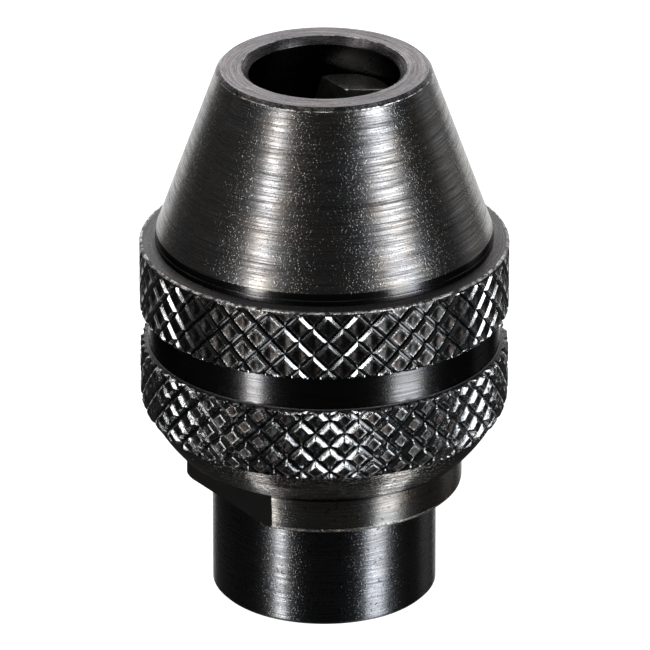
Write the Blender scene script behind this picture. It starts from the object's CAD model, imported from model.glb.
import bpy
import bmesh
import math
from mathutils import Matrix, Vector, noise


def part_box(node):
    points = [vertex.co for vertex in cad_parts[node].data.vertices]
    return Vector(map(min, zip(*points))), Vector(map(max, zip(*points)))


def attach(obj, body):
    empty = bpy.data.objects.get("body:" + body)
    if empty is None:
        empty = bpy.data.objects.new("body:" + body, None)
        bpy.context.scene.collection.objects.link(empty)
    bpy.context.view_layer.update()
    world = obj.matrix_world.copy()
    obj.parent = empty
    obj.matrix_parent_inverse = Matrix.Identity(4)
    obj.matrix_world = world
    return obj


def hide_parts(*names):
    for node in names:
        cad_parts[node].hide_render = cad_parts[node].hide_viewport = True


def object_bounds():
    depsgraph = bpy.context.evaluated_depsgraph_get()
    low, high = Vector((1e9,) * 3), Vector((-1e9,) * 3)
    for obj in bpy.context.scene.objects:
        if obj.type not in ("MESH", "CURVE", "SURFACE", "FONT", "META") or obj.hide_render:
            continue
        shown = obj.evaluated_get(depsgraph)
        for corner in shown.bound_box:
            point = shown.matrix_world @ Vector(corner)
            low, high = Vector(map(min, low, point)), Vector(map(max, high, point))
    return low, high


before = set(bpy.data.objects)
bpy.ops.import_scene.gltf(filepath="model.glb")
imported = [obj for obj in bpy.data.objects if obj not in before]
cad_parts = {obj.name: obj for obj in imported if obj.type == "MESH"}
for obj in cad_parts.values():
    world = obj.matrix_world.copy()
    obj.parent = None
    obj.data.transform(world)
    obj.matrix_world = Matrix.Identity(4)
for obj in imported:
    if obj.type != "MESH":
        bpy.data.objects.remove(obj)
cad_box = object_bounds()
MM = 0.001

# ---------------------------------------------------------------- driving sizes, in millimetres and degrees
sleeve_lo, sleeve_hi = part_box("grip_sleeve")
hood_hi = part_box("nose_hood")[1]
TOP = hood_hi.z / MM
GRIP_R = sleeve_hi.x / MM
FOOT_Z = sleeve_lo.z / MM
SLEEVE_TOP = TOP - 10.0
HOOD_SEAT_R = 8.5
BEARING_R = 8.0
CONE_ANGLE = 24.0                       # inside the hood, from the axis
CAMERA_AZ = 235.8
CAMERA_EL = 24.11
CAMERA_DISTANCE = 480.0
CAMERA_FOCAL = 8856.5 / 650             # in picture widths


# ---------------------------------------------------------------- mesh helpers
def shade_smooth(mesh, sharp):
    """Smooth shading, with edges over sharp degrees kept crisp."""
    mesh.polygons.foreach_set("use_smooth", [True] * len(mesh.polygons))
    mesh.set_sharp_from_angle(angle=math.radians(sharp))
    mesh.update()


def link_object(name, data):
    obj = bpy.data.objects.new(name, data)
    bpy.context.scene.collection.objects.link(obj)
    return obj


def new_object(name, verts, faces, mats, face_mats, sharp):
    """A mesh object from points in millimetres. face_mats holds each face's place in mats."""
    mesh = bpy.data.meshes.new(name)
    mesh.from_pydata([(x * MM, y * MM, z * MM) for x, y, z in verts], [], faces)
    for mat in mats:
        mesh.materials.append(mat)
    mesh.polygons.foreach_set("material_index", face_mats)
    mesh.validate()
    shade_smooth(mesh, sharp)
    return link_object(name, mesh)


def rounded(points, steps=3):
    """Rounds a closed outline of (r, z, radius, material) points, each corner by its own radius.

    The material is that of the run after the point. A pair gives the corner's own, then the run's."""
    out = []
    for i, (r, z, rad, mat) in enumerate(points):
        corner_mat, run_mat = mat if isinstance(mat, tuple) else (mat, mat)
        if rad <= 0:
            out.append((r, z, run_mat))
            continue
        here = Vector((r, z))
        a = Vector(points[i - 1][:2]) - here
        b = Vector(points[(i + 1) % len(points)][:2]) - here
        half = a.angle(b) / 2
        # a corner takes at most this share of the runs beside it
        cut = min(rad / math.tan(half), a.length * 0.45, b.length * 0.45)
        rad = cut * math.tan(half)
        centre = here + (a.normalized() + b.normalized()).normalized() * (rad / math.sin(half))
        v0 = here + a.normalized() * cut - centre
        v1 = here + b.normalized() * cut - centre
        turn = v0.angle_signed(v1)
        for k in range(steps + 1):
            t = -turn * k / steps
            v = Vector((v0.x * math.cos(t) - v0.y * math.sin(t), v0.x * math.sin(t) + v0.y * math.cos(t)))
            out.append((centre.x + v.x, centre.y + v.y, run_mat if k == steps else corner_mat))
    return out


def revolve(name, profile, mats, angles, sharp, radius=None):
    """Turns a closed profile of (r, z, material) round Z. radius(r, z, angle) may change a point's radius."""
    verts, faces, face_mats = [], [], []
    for r, z, mat in profile:
        for a in angles:
            q = radius(r, z, a) if radius else r
            verts.append((q * math.cos(a), q * math.sin(a), z))
    columns = len(angles)
    for i in range(len(profile)):
        j = (i + 1) % len(profile)
        for k in range(columns):
            m = (k + 1) % columns
            faces.append((i * columns + k, i * columns + m, j * columns + m, j * columns + k))
            face_mats.append(profile[i][2])
    return new_object(name, verts, faces, mats, face_mats, sharp)


def even_angles(columns):
    return [2 * math.pi * k / columns for k in range(columns)]


# ---------------------------------------------------------------- node helpers
class Nodes:
    """A new material's node tree, with short calls for the nodes that are used here."""

    def __init__(self, name):
        self.mat = bpy.data.materials.new(name)
        self.mat.use_nodes = True
        self.tree = self.mat.node_tree
        self.bsdf = self.tree.nodes["Principled BSDF"]

    def add(self, kind, **props):
        node = self.tree.nodes.new(kind)
        for key, value in props.items():
            setattr(node, key, value)
        return node

    def put(self, socket, value):
        """Links an output to the socket, or sets the socket's own value."""
        if hasattr(value, "is_output"):
            self.tree.links.new(value, socket)
        else:
            socket.default_value = value

    def surface(self, **inputs):
        """Sets the shader's inputs, whose names have _ for a space, and gives the material."""
        for name, value in inputs.items():
            self.put(self.bsdf.inputs[name.replace("_", " ")], value)
        return self.mat

    def calc(self, operation, a, b=0.0):
        node = self.add("ShaderNodeMath", operation=operation)
        self.put(node.inputs[0], a)
        self.put(node.inputs[1], b)
        return node.outputs[0]

    def times(self, a, b):
        return self.calc("MULTIPLY", a, b)

    def scaled(self, vector, factor):
        node = self.add("ShaderNodeVectorMath", operation="SCALE")
        self.put(node.inputs[0], vector)
        self.put(node.inputs["Scale"], factor)
        return node.outputs[0]

    def vector(self, x, y, z):
        node = self.add("ShaderNodeCombineXYZ")
        for socket, value in zip(node.inputs, (x, y, z)):
            self.put(socket, value)
        return node.outputs[0]

    def mix(self, factor, a, b):
        """Mixes two numbers, or two colours when b is one."""
        colour = isinstance(b, tuple) or getattr(b, "type", "") == "RGBA"
        node = self.add("ShaderNodeMix", data_type="RGBA" if colour else "FLOAT")
        sockets = [i for i in node.inputs if i.enabled]
        for socket, value in zip(sockets, (factor, a, b)):
            self.put(socket, value)
        return [o for o in node.outputs if o.enabled][0]

    def ramp(self, value, low, high, out_low=0.0, out_high=1.0):
        """Takes low to out_low and high to out_high, and holds beyond them."""
        node = self.add("ShaderNodeMapRange")
        for socket, v in zip(node.inputs, (value, low, high, out_low, out_high)):
            self.put(socket, v)
        return node.outputs[0]

    def noise(self, vector, scale, detail=3.0, rough=0.5):
        node = self.add("ShaderNodeTexNoise")
        self.put(node.inputs["Vector"], vector)
        self.put(node.inputs["Scale"], scale)
        self.put(node.inputs["Detail"], detail)
        self.put(node.inputs["Roughness"], rough)
        return node.outputs["Fac"]

    def attribute(self, name):
        return self.add("ShaderNodeAttribute", attribute_name=name).outputs["Fac"]

    def bump(self, height, distance, strength=1.0, normal=None):
        node = self.add("ShaderNodeBump")
        node.inputs["Strength"].default_value = strength
        node.inputs["Distance"].default_value = distance
        self.put(node.inputs["Height"], height)
        if normal is not None:
            self.put(node.inputs["Normal"], normal)
        return node.outputs["Normal"]

    def measure(self):
        """Sets pos, x, y, z and the radius from the axis, in millimetres, and the angle round it."""
        self.pos = self.scaled(self.add("ShaderNodeTexCoord").outputs["Object"], 1 / MM)
        split = self.add("ShaderNodeSeparateXYZ")
        self.put(split.inputs[0], self.pos)
        self.x, self.y, self.z = split.outputs
        square = self.calc("ADD", self.times(self.x, self.x), self.times(self.y, self.y))
        self.radius = self.calc("SQRT", square)
        self.angle = self.calc("ARCTAN2", self.y, self.x)


# ---------------------------------------------------------------- materials
def turned_steel(name, base, brown, roughness, anisotropy, ring=1.0, glitter=1.0, contrast=1.0,
                 faced=False, patchy=0.0, pits=0.0, edge=1.0, metal=1.0):
    """Blackened steel with fine circular turning marks and a glittering grain.

    The colour drifts between base and brown. ring and glitter are the relief of the marks and of the
    grain, and contrast is how far the marks change the shade. faced puts the marks across a flat end.
    patchy wears it in patches, pits darkens small spots, and edge dims its glancing reflections."""
    n = Nodes(name)
    n.measure()
    along = n.radius if faced else n.z

    def marks(per_mm, per_radian, seed, detail, rough):
        """Noise in bands along the height or the radius, which break up round the turn."""
        place = n.vector(n.times(along, per_mm), n.times(n.angle, per_radian), seed)
        return n.noise(place, 1.0, detail, rough)

    wide = marks(1.6, 1.2, 8.1, 2.0, 0.5)
    coarse = marks(10.0, 1.4, 3.7, 3.0, 0.65)
    fine = marks(22.0, 3.5, 1.3, 3.0, 0.65)
    lines = n.calc("ADD", n.times(coarse, 0.5), n.times(fine, 0.5))
    cloud = n.noise(n.pos, 0.35, 3.0, 0.6)
    grain = n.noise(n.pos, 9.0, 3.0, 0.7)
    # the grain stands up in a few places only, which glitter beside the highlights
    bead = n.ramp(n.noise(n.pos, 11.0, 1.0, 0.5), 0.58, 0.70)

    tone = n.mix(n.ramp(cloud, 0.4, 0.62), (*base, 1), (*brown, 1))
    shade = n.times(n.ramp(lines, 0.39, 0.61, 1.0 - 0.55 * contrast, 1.0 + 0.75 * contrast),
                    n.ramp(wide, 0.3, 0.7, 1.0 - 0.1 * contrast, 1.0 + 0.1 * contrast))
    if patchy:
        patch = n.noise(n.pos, 2.2, 3.0, 0.65)
        shade = n.times(shade, n.ramp(patch, 0.42, 0.66, 1.0 - 0.9 * patchy, 1.0 + 0.9 * patchy))
    if pits:
        pit = n.noise(n.pos, 4.5, 2.0, 0.5)
        shade = n.times(shade, n.ramp(pit, 0.62, 0.68, 1.0, 1.0 - pits))

    spread = 0.10 * contrast
    rough = n.calc("ADD", n.ramp(lines, 0.38, 0.62, roughness + spread, roughness - spread),
                   n.ramp(grain, 0.3, 0.7, -0.04, 0.06))
    rough = n.mix(n.times(bead, min(1.0, glitter)), rough, roughness * 0.5)

    relief = n.bump(lines, 0.01 * MM * ring)
    relief = n.bump(grain, 0.0015 * MM * glitter, normal=relief)
    relief = n.bump(bead, 0.0045 * MM * glitter, normal=relief)
    tangent = n.add("ShaderNodeTangent", direction_type="RADIAL", axis="Z")
    return n.surface(Base_Color=n.scaled(tone, shade), Roughness=rough, Metallic=metal,
                     Specular_Tint=(edge, edge, edge, 1), Anisotropic=anisotropy,
                     Anisotropic_Rotation=0.25, Tangent=tangent.outputs[0], Normal=relief)


def ground_steel(name, base, roughness):
    """Bare oiled metal with fine scratches and soft stains."""
    n = Nodes(name)
    n.measure()
    streak = n.noise(n.vector(n.times(n.x, 3.0), n.times(n.y, 3.0), n.times(n.z, 30.0)), 1.0, 4.0, 0.6)
    stain = n.noise(n.pos, 0.6, 4.0, 0.6)
    stained = tuple(0.55 * c for c in base)
    return n.surface(Base_Color=n.mix(n.ramp(stain, 0.4, 0.65), (*base, 1), (*stained, 1)),
                     Roughness=n.ramp(streak, 0.25, 0.75, roughness - 0.08, roughness + 0.1),
                     Metallic=1.0, Normal=n.bump(streak, 0.006 * MM, 0.6))


def milled_steel(name):
    """The wrench flats: blackened, with straight milling streaks."""
    n = Nodes(name)
    n.measure()
    streak = n.noise(n.vector(n.times(n.z, 22.0), n.times(n.y, 1.2), 0.5), 1.0, 3.0, 0.6)
    cloud = n.noise(n.pos, 0.5, 3.0, 0.6)
    tone = n.mix(n.ramp(cloud, 0.4, 0.65), (0.017, 0.017, 0.018, 1), (0.021, 0.019, 0.017, 1))
    return n.surface(Base_Color=tone, Roughness=n.ramp(streak, 0.3, 0.7, 0.42, 0.56),
                     Metallic=1.0, Normal=n.bump(streak, 0.006 * MM, 0.5))


def knurled_steel(name):
    """The knurl's tops are dark, dished and rubbed at the rims; its flanks are smooth and glossy."""
    n = Nodes(name)
    n.measure()
    rim = n.attribute("rim")
    deep = n.attribute("deep")
    grain = n.noise(n.pos, 5.0, 4.0, 0.75)
    speck = n.noise(n.pos, 9.0, 2.0, 0.6)
    cloud = n.noise(n.pos, 1.3, 3.0, 0.6)
    # 1 on the lower band and 0 on the upper one; 1 on the flanks and 0 on the tops
    low = n.ramp(n.z, 14.0, 14.6, 1.0, 0.0)
    flank = n.ramp(deep, 0.0, 0.1)

    tone = n.mix(n.ramp(cloud, 0.42, 0.6), (0.013, 0.014, 0.014, 1), (0.016, 0.012, 0.0105, 1))
    tone = n.mix(n.ramp(rim, 0.1, 0.9), tone, (0.023, 0.0225, 0.022, 1))
    worn = n.times(n.ramp(rim, 0.5, 1.0), n.ramp(speck, 0.44, 0.62))
    tone = n.mix(n.times(worn, 0.7), tone, (0.22, 0.215, 0.21, 1))
    flank_tone = n.mix(low, (0.15, 0.152, 0.155, 1), (0.125, 0.127, 0.13, 1))
    tone = n.mix(n.ramp(deep, 0.0, 0.15), tone, flank_tone)
    tone = n.mix(n.ramp(deep, 0.6, n.mix(low, 0.9, 0.88)), tone, (0.008, 0.008, 0.008, 1))

    uneven = n.mix(low, n.mix(flank, 0.14, 0.08), n.mix(flank, 0.35, 0.2))
    return n.surface(Base_Color=tone, Roughness=n.mix(flank, n.ramp(grain, 0.3, 0.7, 0.22, 0.38), 0.17),
                     Metallic=1.0, Normal=n.bump(n.times(grain, uneven), 0.1 * MM, 0.9))


hood_side = turned_steel("hood_turned", (0.072, 0.071, 0.073), (0.076, 0.070, 0.064), 0.385, 0.9)
band_side = turned_steel("band_turned", (0.030, 0.030, 0.032), (0.030, 0.029, 0.028), 0.24, 0.9,
                         ring=0.3, glitter=0.2, contrast=0.5, edge=0.45)
foot_side = turned_steel("sleeve_turned", (0.15, 0.147, 0.145), (0.155, 0.142, 0.132), 0.15, 0.95,
                         ring=2.4, glitter=1.4, contrast=0.8, edge=0.6, pits=0.5)
shank_side = turned_steel("body_turned", (0.046, 0.048, 0.052), (0.048, 0.047, 0.048), 0.29, 0.9,
                          ring=0.4, glitter=0.6, contrast=0.6, pits=0.6)
collar_side = turned_steel("collar_turned", (0.050, 0.049, 0.048), (0.058, 0.049, 0.040), 0.30, 0.9,
                           ring=0.4, glitter=0.45, contrast=0.6, pits=0.6, metal=0.975)
collar_edge = turned_steel("collar_edge", (0.13, 0.125, 0.12), (0.11, 0.10, 0.09), 0.4, 0.6,
                           glitter=5.0, contrast=0.6, patchy=0.5)
faced_end = turned_steel("faced_ends", (0.167, 0.157, 0.166), (0.178, 0.159, 0.163), 0.50, 0.3,
                         ring=5.0, glitter=18.0, contrast=0.8, faced=True, pits=0.25)
worn_edge = turned_steel("worn_edge", (0.30, 0.295, 0.29), (0.22, 0.21, 0.20), 0.42, 0.0,
                         glitter=10.0, contrast=0.6, patchy=1.0)
bore_black = turned_steel("bore_black", (0.018, 0.018, 0.018), (0.018, 0.017, 0.016), 0.26, 0.7,
                          ring=0.1, glitter=0.1, contrast=0.3, edge=0.5)
mouth_chamfer = turned_steel("mouth_chamfer", (0.040, 0.038, 0.040), (0.022, 0.020, 0.020), 0.28, 0.6,
                             ring=2.0, glitter=6.0, pits=0.6, edge=0.7)
shoulder = turned_steel("sleeve_shoulder", (0.045, 0.043, 0.045), (0.05, 0.045, 0.045), 0.45, 0.3,
                        glitter=3.0, contrast=0.6, faced=True)
nose_bevel = turned_steel("nose_bevel", (0.034, 0.034, 0.034), (0.05, 0.046, 0.042), 0.36, 0.4,
                          glitter=9.0, contrast=0.8, patchy=0.8)
wrench_flat = milled_steel("wrench_flat")
sleeve_knurl = knurled_steel("sleeve_knurl")

# ---------------------------------------------------------------- grip sleeve, with its knurl
DIAMONDS = 40
FINENESS = 12                           # rows and columns to a diamond
COLUMNS = DIAMONDS * FINENESS
DIAMOND = 360.0 / DIAMONDS              # degrees to a diamond
DISH = 0.065                            # how far the tops are hollowed
BAND_R = GRIP_R - 0.46
UPPER_FOOT = TOP - 13.9
LOWER_TOP = TOP - 15.85
LOWER_FOOT = TOP - 19.9
RIM_R = 7.6                             # the foot's rim, round the collar
WEB_R = 5.95
WEB_LOW = 9.2
WEB_HIGH = 10.6
HOOD_SEAT_Z = 14.6

# the angle and height of a crossing of two grooves, a diamond's height, the grooves' depth and their
# half width as a share of a diamond, and how uneven the surface is
UPPER = {"angle": 237.07, "height": 18.58, "pitch": 1.60, "depth": 0.17, "half": 2 / 12, "uneven": 0.006}
LOWER = {"angle": 237.6, "height": 12.46, "pitch": 1.55, "depth": 0.23, "half": 3 / 12, "uneven": 0.016}


def ease(t):
    """A smooth step from 0 to 1."""
    t = min(1.0, t)
    return t * t * (3 - 2 * t)


def knurl_cut(degrees, z, knurl):
    """How deep the knurl is, how near a top's rim the point is, and how far down a groove's flank."""
    u = (degrees - knurl["angle"]) / DIAMOND
    w = (z - knurl["height"]) / knurl["pitch"]
    # how far the nearest groove of each family is, as a share of a diamond
    d1 = abs((u + w + 0.5) % 1.0 - 0.5)
    d2 = abs((u - w + 0.5) % 1.0 - 0.5)
    nearest = min(d1, d2)
    half = knurl["half"]
    if nearest < half - 1e-6:
        down = 1.0 - nearest / half
        return knurl["depth"] * down, 1.0 - down, down
    rim = 1.0 - 1.6 * min(1.0, (nearest - half) / 0.25)
    bowl = ease((d1 - half) / 0.3) * ease((d2 - half) / 0.3)
    return DISH * bowl, max(0.0, rim), 0.0


def upper_radius(z):
    """The upper band, with a small bevel at its foot."""
    return GRIP_R - 0.1 * max(0.0, (UPPER_FOOT + 0.12 - z) / 0.12)


def upper_share(z):
    """The share of the knurl's depth: it runs out towards the lip at the top."""
    return 0.12 + 0.88 * min(1.0, max(0.0, (SLEEVE_TOP - 0.12 - z) / 0.25))


def lower_radius(z):
    """The lower band: a small bevel at its top, and a foot that rounds in until it slopes by 43 degrees."""
    round_height = 1.2
    round_z = LOWER_FOOT + round_height
    if z >= round_z:
        return GRIP_R - 0.1 * max(0.0, (z - (LOWER_TOP - 0.1)) / 0.1)
    big = round_height / math.sin(math.radians(43))
    return GRIP_R - big + math.sqrt(max(0.0, big * big - (round_z - z) ** 2))


def build_sleeve():
    verts, faces, face_mats, rims, deeps = [], [], [], [], []
    angles = [UPPER["angle"] + DIAMOND * k / FINENESS for k in range(COLUMNS)]
    mats = [band_side, sleeve_knurl, shoulder, foot_side, worn_edge]
    BAND, KNURL, SHOULDER, FOOT, WORN = range(len(mats))

    def row(r, z, knurl=None, share=1.0, shift=0.0):
        """A ring of points, with a share of the knurl's depth. Gives its first point's place."""
        start = len(verts)
        for a in angles:
            q, rim, deep = r, 0.0, 0.0
            t = math.radians(a + shift)
            if knurl:
                cut, rim, deep = knurl_cut(a + shift, z, knurl)
                q = r - cut * share
                rim = max(rim, 1.0 - share)
                deep = deep * share
                spot = Vector((q * math.cos(t), q * math.sin(t), z)) * 5.5
                q -= knurl["uneven"] * (1.0 + noise.noise(spot)) * share
            verts.append((q * math.cos(t), q * math.sin(t), z))
            rims.append(rim)
            deeps.append(deep)
        return start

    def join(i, j, mat):
        for k in range(COLUMNS):
            m = (k + 1) % COLUMNS
            faces.append((i + k, j + k, j + m, i + m))
            face_mats.append(mat)

    def join_crossed(i, j, r, z, knurl, share):
        """Cells split into four, so that both families of grooves keep straight edges."""
        c = row(r, z, knurl, share, DIAMOND / FINENESS / 2)
        for k in range(COLUMNS):
            m = (k + 1) % COLUMNS
            centre = c + k
            for p, q in ((i + k, i + m), (i + m, j + m), (j + m, j + k), (j + k, i + k)):
                faces.append((p, centre, q))
                face_mats.append(KNURL)

    def knurled_band(z_high, z_low, knurl, radius, share):
        """Rows from the top of a knurled band to its foot. Gives the first row and the last."""
        step = knurl["pitch"] / FINENESS
        # no row is closer than this share of a step to the band's ends
        gap = 0.35
        heights = [z_high]
        k = math.floor((z_high - knurl["height"]) / step - gap)
        while knurl["height"] + k * step > z_low + gap * step:
            heights.append(knurl["height"] + k * step)
            k -= 1
        heights.append(z_low)
        first = above = row(radius(z_high), z_high, knurl, share(z_high))
        for z_above, z in zip(heights, heights[1:]):
            below = row(radius(z), z, knurl, share(z))
            middle = (z + z_above) / 2
            join_crossed(above, below, radius(middle), middle, knurl, share(middle))
            above = below
        return first, above

    def run(start, points):
        """Smooth rows (r, z, material of the run up to them), on from a row. Gives the last row."""
        for r, z, mat in points:
            end = row(r, z)
            join(start, end, mat)
            start = end
        return start

    # from the top shoulder's inner edge, down the outside, and back up the bore
    top_inner = row(HOOD_SEAT_R, SLEEVE_TOP)
    end = run(top_inner, [(GRIP_R - 0.16, SLEEVE_TOP, SHOULDER)])
    first, last = knurled_band(SLEEVE_TOP - 0.09, UPPER_FOOT, UPPER, upper_radius, upper_share)
    # the lip over the upper knurl is rounded and rubbed bright
    end = run(end, [(GRIP_R - 0.07, SLEEVE_TOP - 0.02, WORN), (GRIP_R - 0.02, SLEEVE_TOP - 0.06, WORN)])
    join(end, first, WORN)

    end = run(last, [(BAND_R + 0.06, UPPER_FOOT, BAND), (BAND_R, UPPER_FOOT - 0.06, BAND),
                     (BAND_R, LOWER_TOP + 1.4, BAND), (BAND_R, LOWER_TOP + 0.7, BAND),
                     (BAND_R, LOWER_TOP + 0.05, BAND), (BAND_R + 0.05, LOWER_TOP, SHOULDER)])
    first, last = knurled_band(LOWER_TOP, LOWER_FOOT, LOWER, lower_radius, lambda z: 1.0)
    join(end, first, SHOULDER)

    # the plain foot is a cone that bulges a little
    high_r, high_z = 9.42, LOWER_FOOT - 0.03
    low_r, low_z = BEARING_R + 0.08, FOOT_Z + 0.07
    bulge = 0.10
    end = run(last, [(high_r, high_z, FOOT)])
    for k in range(1, 7):
        t = k / 6
        r = high_r + (low_r - high_r) * t + bulge * math.sin(math.pi * t * 0.97)
        end = run(end, [(r, high_z + (low_z - high_z) * t, FOOT)])
    end = run(end, [(BEARING_R + 0.05, FOOT_Z + 0.02, BAND), (BEARING_R, FOOT_Z, SHOULDER),
                    (RIM_R + 0.06, FOOT_Z, SHOULDER), (RIM_R, FOOT_Z + 0.06, BAND),
                    (RIM_R, WEB_LOW, SHOULDER), (WEB_R, WEB_LOW, BAND), (WEB_R, WEB_HIGH, SHOULDER),
                    (BEARING_R, WEB_HIGH, BAND), (BEARING_R, HOOD_SEAT_Z, SHOULDER),
                    (HOOD_SEAT_R, HOOD_SEAT_Z, BAND)])
    join(end, top_inner, BAND)

    obj = new_object("grip_sleeve_fine", verts, faces, mats, face_mats, 22.0)
    for name, values in (("rim", rims), ("deep", deeps)):
        attribute = obj.data.attributes.new(name, "FLOAT", "POINT")
        attribute.data.foreach_set("value", values)
    return obj


sleeve = build_sleeve()
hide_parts("grip_sleeve")
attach(sleeve, "sleeve")

# ---------------------------------------------------------------- nose hood
HOOD_FOOT = 15.4
STEP_R = 9.14                           # the plain step that stands on the sleeve
CONE_LOW = TOP - 9.3
SKIRT_R = 7.2
NOSE_R = 5.6                            # the flat nose face, inside its bevel
MOUTH_R = 4.06
MOUTH_Z = TOP - 0.4                     # where the mouth's chamfer ends


def build_hood():
    mats = [hood_side, faced_end, band_side, nose_bevel, worn_edge, bore_black, mouth_chamfer]
    SIDE, FACED, STEP, BEVEL, WORN, BORE, CHAMFER = range(len(mats))
    skirt_z = MOUTH_Z - (SKIRT_R - MOUTH_R) / math.tan(math.radians(CONE_ANGLE))
    seat_r = HOOD_SEAT_R - 0.03
    outline = [
        (seat_r, HOOD_FOOT, 0.0, FACED),
        (seat_r, SLEEVE_TOP, 0.0, FACED),
        (STEP_R, SLEEVE_TOP, 0.03, STEP),
        (STEP_R, SLEEVE_TOP + 0.28, 0.03, STEP),
        (STEP_R - 0.04, SLEEVE_TOP + 0.31, 0.0, STEP),
        (STEP_R - 0.04, CONE_LOW - 0.06, 0.05, STEP),
        (STEP_R - 0.07, CONE_LOW, 0.05, SIDE),
        (NOSE_R + 0.215, TOP - 0.23, 0.0, WORN),
        (NOSE_R + 0.19, TOP - 0.19, 0.0, BEVEL),
        (NOSE_R, TOP, 0.02, FACED),
        (MOUTH_R + 0.42, TOP, 0.0, WORN),
        (MOUTH_R + 0.39, TOP - 0.02, 0.0, CHAMFER),
        (MOUTH_R, MOUTH_Z, 0.03, BORE),
        (SKIRT_R, skirt_z, 0.0, BORE),
        (SKIRT_R, HOOD_FOOT, 0.0, FACED),
    ]
    return revolve("nose_hood_fine", rounded(outline), mats, even_angles(400), 30.0)


hood = build_hood()
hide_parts("nose_hood")
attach(hood, "sleeve")

# ---------------------------------------------------------------- chuck body with its threaded socket
SHANK_R = 6.1
SHANK_TOP = 6.2
COLLAR_R = 7.5
COLLAR_TOP = 9.1
FLAT_X = 6.25                           # half the size across the wrench flats
FLAT_TOP = 8.4
HUB_R = 5.9
HUB_TOP = 14.4
SCREW_BORE_R = 3.23
THREAD_PITCH = 0.75
SOCKET_R = (8 - 1.0825 * THREAD_PITCH) / 2
SOCKET_END = 6.6
SOCKET_MOUTH_R = 4.0
THREAD_DEPTH = 0.40
THREAD_ROWS = 88


def body_radius(r, z, a):
    """Cuts the two flats from the collar, and the socket's thread."""
    if r > SHANK_R + 0.5 and z < FLAT_TOP + 0.01:
        c = abs(math.cos(a))
        return min(r, FLAT_X / c) if c > 0.05 else r
    if r <= SOCKET_R + 0.42 and 0.2 < z < SOCKET_END - 0.05:
        turn = (z / THREAD_PITCH - a / (2 * math.pi)) % 1.0
        vee = 1.0 - abs(turn - 0.5) * 2
        # the thread runs out over half a millimetre at both ends
        fade = min(1.0, max(0.0, (z - 0.15) / 0.5)) * min(1.0, max(0.0, (SOCKET_END - 0.1 - z) / 0.5))
        return r + THREAD_DEPTH * max(0.0, vee - 0.1) * fade
    return r


def build_body():
    mats = [shank_side, faced_end, wrench_flat, collar_side, collar_edge, bore_black]
    SIDE, FACED, FLAT, COLLAR, EDGE, DARK = range(len(mats))
    outline = rounded([
        (SOCKET_MOUTH_R, 0.0, 0.0, FACED),
        (SHANK_R - 0.23, 0.0, 0.03, SIDE),
        (SHANK_R, 0.23, 0.06, SIDE),
        (SHANK_R, SHANK_TOP, 0.0, FACED),
        (COLLAR_R, SHANK_TOP, 0.24, (EDGE, COLLAR)),
        (COLLAR_R, FLAT_TOP - 0.32, 0.0, DARK),
        (COLLAR_R, FLAT_TOP, 0.0, FACED),
        (COLLAR_R, FLAT_TOP + 0.001, 0.0, COLLAR),
        (COLLAR_R, COLLAR_TOP, 0.04, FACED),
        (HUB_R, COLLAR_TOP, 0.0, SIDE),
        (HUB_R, HUB_TOP, 0.05, FACED),
        (SCREW_BORE_R, HUB_TOP, 0.0, SIDE),
        (SCREW_BORE_R, SOCKET_END, 0.0, FACED),
        (SOCKET_R, SOCKET_END, 0.0, SIDE),
    ])
    thread_top = SOCKET_END - 0.02
    thread_low = 0.4
    for k in range(THREAD_ROWS + 1):
        outline.append((SOCKET_R, thread_top - (thread_top - thread_low) * k / THREAD_ROWS, SIDE))

    # columns every degree, and one at each edge of each flat
    edge = math.acos(FLAT_X / COLLAR_R)
    flat_edges = [edge, math.pi - edge, math.pi + edge, 2 * math.pi - edge]
    angles = sorted(set(round(a, 9) for a in even_angles(360) + flat_edges))
    obj = revolve("chuck_body_fine", outline, mats, angles, 28.0, body_radius)
    for face in obj.data.polygons:
        on_flat = abs(face.normal.x) > 0.995 and abs(abs(face.center.x) - FLAT_X * MM) < 0.05 * MM
        if on_flat and face.center.z < (FLAT_TOP - 0.34) * MM:
            face.material_index = FLAT
    return obj


body = build_body()
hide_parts("chuck_body")
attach(body, "body")

# ---------------------------------------------------------------- jaws, with their edges broken
jaw_mats = [
    turned_steel("jaw_steel", (0.33, 0.325, 0.31), (0.27, 0.26, 0.245), 0.34, 0.0, ring=0.4, contrast=0.3),
    ground_steel("jaw_edges", (0.95, 0.94, 0.92), 0.32),
    ground_steel("jaw_flanks", (0.16, 0.157, 0.15), 0.36),
]
JAW, JAW_EDGE, JAW_FLANK = range(len(jaw_mats))


def bevel(bm, geom, width, segments, affect):
    bmesh.ops.bevel(bm, geom=geom, offset=width * MM, segments=segments, affect=affect, profile=0.5,
                    clamp_overlap=True, material=JAW_EDGE)


def break_edges(bm):
    """Rounds the tip's top corner, which is worn and catches the light, then breaks every sharp edge."""
    bmesh.ops.remove_doubles(bm, verts=bm.verts, dist=0.001 * MM)
    bmesh.ops.dissolve_limit(bm, angle_limit=math.radians(0.5), verts=bm.verts, edges=bm.edges)
    top_z = max(v.co.z for v in bm.verts)
    tip_r = min(math.hypot(v.co.x, v.co.y) for v in bm.verts)

    def tip_verts():
        return [v for v in bm.verts
                if v.co.z > top_z - 0.1 * MM and math.hypot(v.co.x, v.co.y) < tip_r + 0.05 * MM]

    bmesh.ops.remove_doubles(bm, verts=tip_verts(), dist=0.13 * MM)
    bevel(bm, tip_verts(), 0.26, 4, "VERTICES")
    sharp = [e for e in bm.edges if len(e.link_faces) == 2 and e.calc_face_angle() > math.radians(25)]
    bevel(bm, sharp, 0.03, 2, "EDGES")


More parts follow.
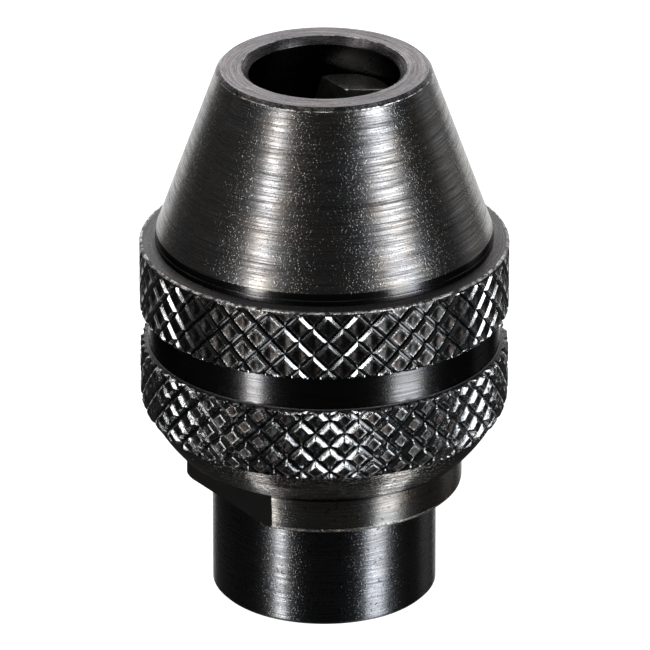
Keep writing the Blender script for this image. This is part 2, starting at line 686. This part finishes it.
def build_jaw(name):
    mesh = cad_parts[name].data.copy()
    bm = bmesh.new()
    bm.from_mesh(mesh)
    break_edges(bm)
    bm.to_mesh(mesh)
    bm.free()
    mesh.materials.clear()
    for mat in jaw_mats:
        mesh.materials.append(mat)
    for face in mesh.polygons:
        if face.material_index == JAW and abs(face.normal.z) < 0.3:
            face.material_index = JAW_FLANK
    shade_smooth(mesh, 35)
    return link_object(name + "_fine", mesh)


for name in ("jaw_1", "jaw_2", "jaw_3"):
    jaw = build_jaw(name)
    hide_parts(name)
    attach(jaw, name)

# ---------------------------------------------------------------- inner pieces keep their CAD shape
inner_mats = {
    "jaw_guide": ground_steel("guide_steel", (0.16, 0.16, 0.17), 0.38),
    "lead_screw": ground_steel("screw_steel", (0.22, 0.22, 0.225), 0.34),
    "retaining_nut": ground_steel("nut_steel", (0.14, 0.14, 0.145), 0.4),
    "upper_race": ground_steel("race_steel", (0.55, 0.55, 0.57), 0.2),
    "ball_cage": ground_steel("cage_brass", (0.55, 0.38, 0.14), 0.35),
    "ball": ground_steel("ball_steel", (0.68, 0.68, 0.7), 0.1),
}
inner_mats["lower_race"] = inner_mats["upper_race"]
for name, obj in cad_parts.items():
    key = "ball" if name.startswith("ball_") and name != "ball_cage" else name
    if key in inner_mats:
        obj.data.materials.clear()
        obj.data.materials.append(inner_mats[key])


# ---------------------------------------------------------------- floor, light and camera
def direction(azimuth, elevation):
    """A unit vector, from degrees."""
    a = math.radians(azimuth)
    e = math.radians(elevation)
    return Vector((math.cos(a) * math.cos(e), math.sin(a) * math.cos(e), math.sin(e)))


def build_floor():
    """A pale floor, a hair under the chuck, which neither shades it nor shows in it."""
    bpy.ops.mesh.primitive_circle_add(vertices=96, radius=2.5, fill_type="NGON",
                                      location=(0, 0, cad_box[0].z - 0.02 * MM))
    obj = bpy.context.object
    obj.name = "floor"
    n = Nodes("floor_white")
    spots = n.noise(n.add("ShaderNodeTexCoord").outputs["Object"], 40.0, 3.0, 0.6)
    tone = n.mix(n.ramp(spots, 0.3, 0.7), (0.30, 0.30, 0.30, 1), (0.31, 0.31, 0.31, 1))
    obj.data.materials.append(n.surface(Base_Color=tone, Roughness=0.9, Specular_IOR_Level=0.0,
                                        Emission_Color=(1, 1, 1, 1), Emission_Strength=0.9))
    obj.visible_glossy = False
    obj.visible_shadow = False
    return obj


def area_light(name, azimuth, elevation, distance, width, height, radiance, colour=(1, 1, 1)):
    """A soft box that faces the chuck's middle. azimuth is from the camera's, positive to the right."""
    light = bpy.data.lights.new(name, "AREA")
    light.shape = "RECTANGLE"
    light.size = width
    light.size_y = height
    light.energy = radiance * width * height * math.pi
    light.color = colour
    place = direction(CAMERA_AZ + azimuth, elevation) * distance
    obj = link_object(name, light)
    obj.location = place + Vector((0, 0, 15 * MM))
    obj.rotation_euler = (-place).to_track_quat("-Z", "Y").to_euler()
    obj.visible_camera = False


def build_camera():
    """Looks at the chuck's middle, a touch to its right, through a long lens."""
    toward = direction(CAMERA_AZ, CAMERA_EL)
    right = Vector((0, 0, 1)).cross(toward).normalized()
    data = bpy.data.cameras.new("camera")
    data.sensor_width = 36.0
    data.lens = CAMERA_FOCAL * 36.0
    data.clip_start = 0.01
    data.clip_end = 20.0
    obj = link_object("camera", data)
    obj.location = Vector((0, 0, 15.16 * MM)) + right * (0.038 * MM) + toward * (CAMERA_DISTANCE * MM)
    obj.rotation_euler = (-toward).to_track_quat("-Z", "Y").to_euler()
    return obj


floor = build_floor()

# two tall strips make the two long highlights, and large weak boxes fill the rest
area_light("strip_left", -46.5, 2, 0.7, 0.11, 1.5, 25.0, (1.0, 0.995, 0.985))
area_light("strip_right", 55.5, 2, 0.7, 0.23, 1.5, 18.5, (0.94, 0.97, 1.0))
area_light("fill_right", 121, 12, 1.0, 0.35, 1.3, 0.9)
area_light("box_back", 180, 12, 1.0, 1.6, 1.5, 1.7)
area_light("box_top", 0, 78, 0.8, 0.5, 0.3, 1.0)
area_light("kicker", -140, 50, 0.6, 0.2, 0.2, 6.0)
# a glint on the jaw's tip, and light thrown back by the table on the sleeve's foot
area_light("mouth_glint", -83, 59, 0.6, 0.10, 0.10, 18.0)
area_light("table_left", -127, -69, 0.5, 0.05, 0.05, 15.0)
area_light("table_right", 129, -66, 0.5, 0.07, 0.07, 15.0)

world = bpy.data.worlds.new("studio")
world.use_nodes = True
background = world.node_tree.nodes["Background"]
background.inputs["Color"].default_value = (1, 1, 1, 1)
background.inputs["Strength"].default_value = 0.05
bpy.context.scene.world = world
bpy.context.scene.camera = build_camera()
bpy.context.scene.view_settings.view_transform = "Standard"
bpy.context.scene.view_settings.look = "None"
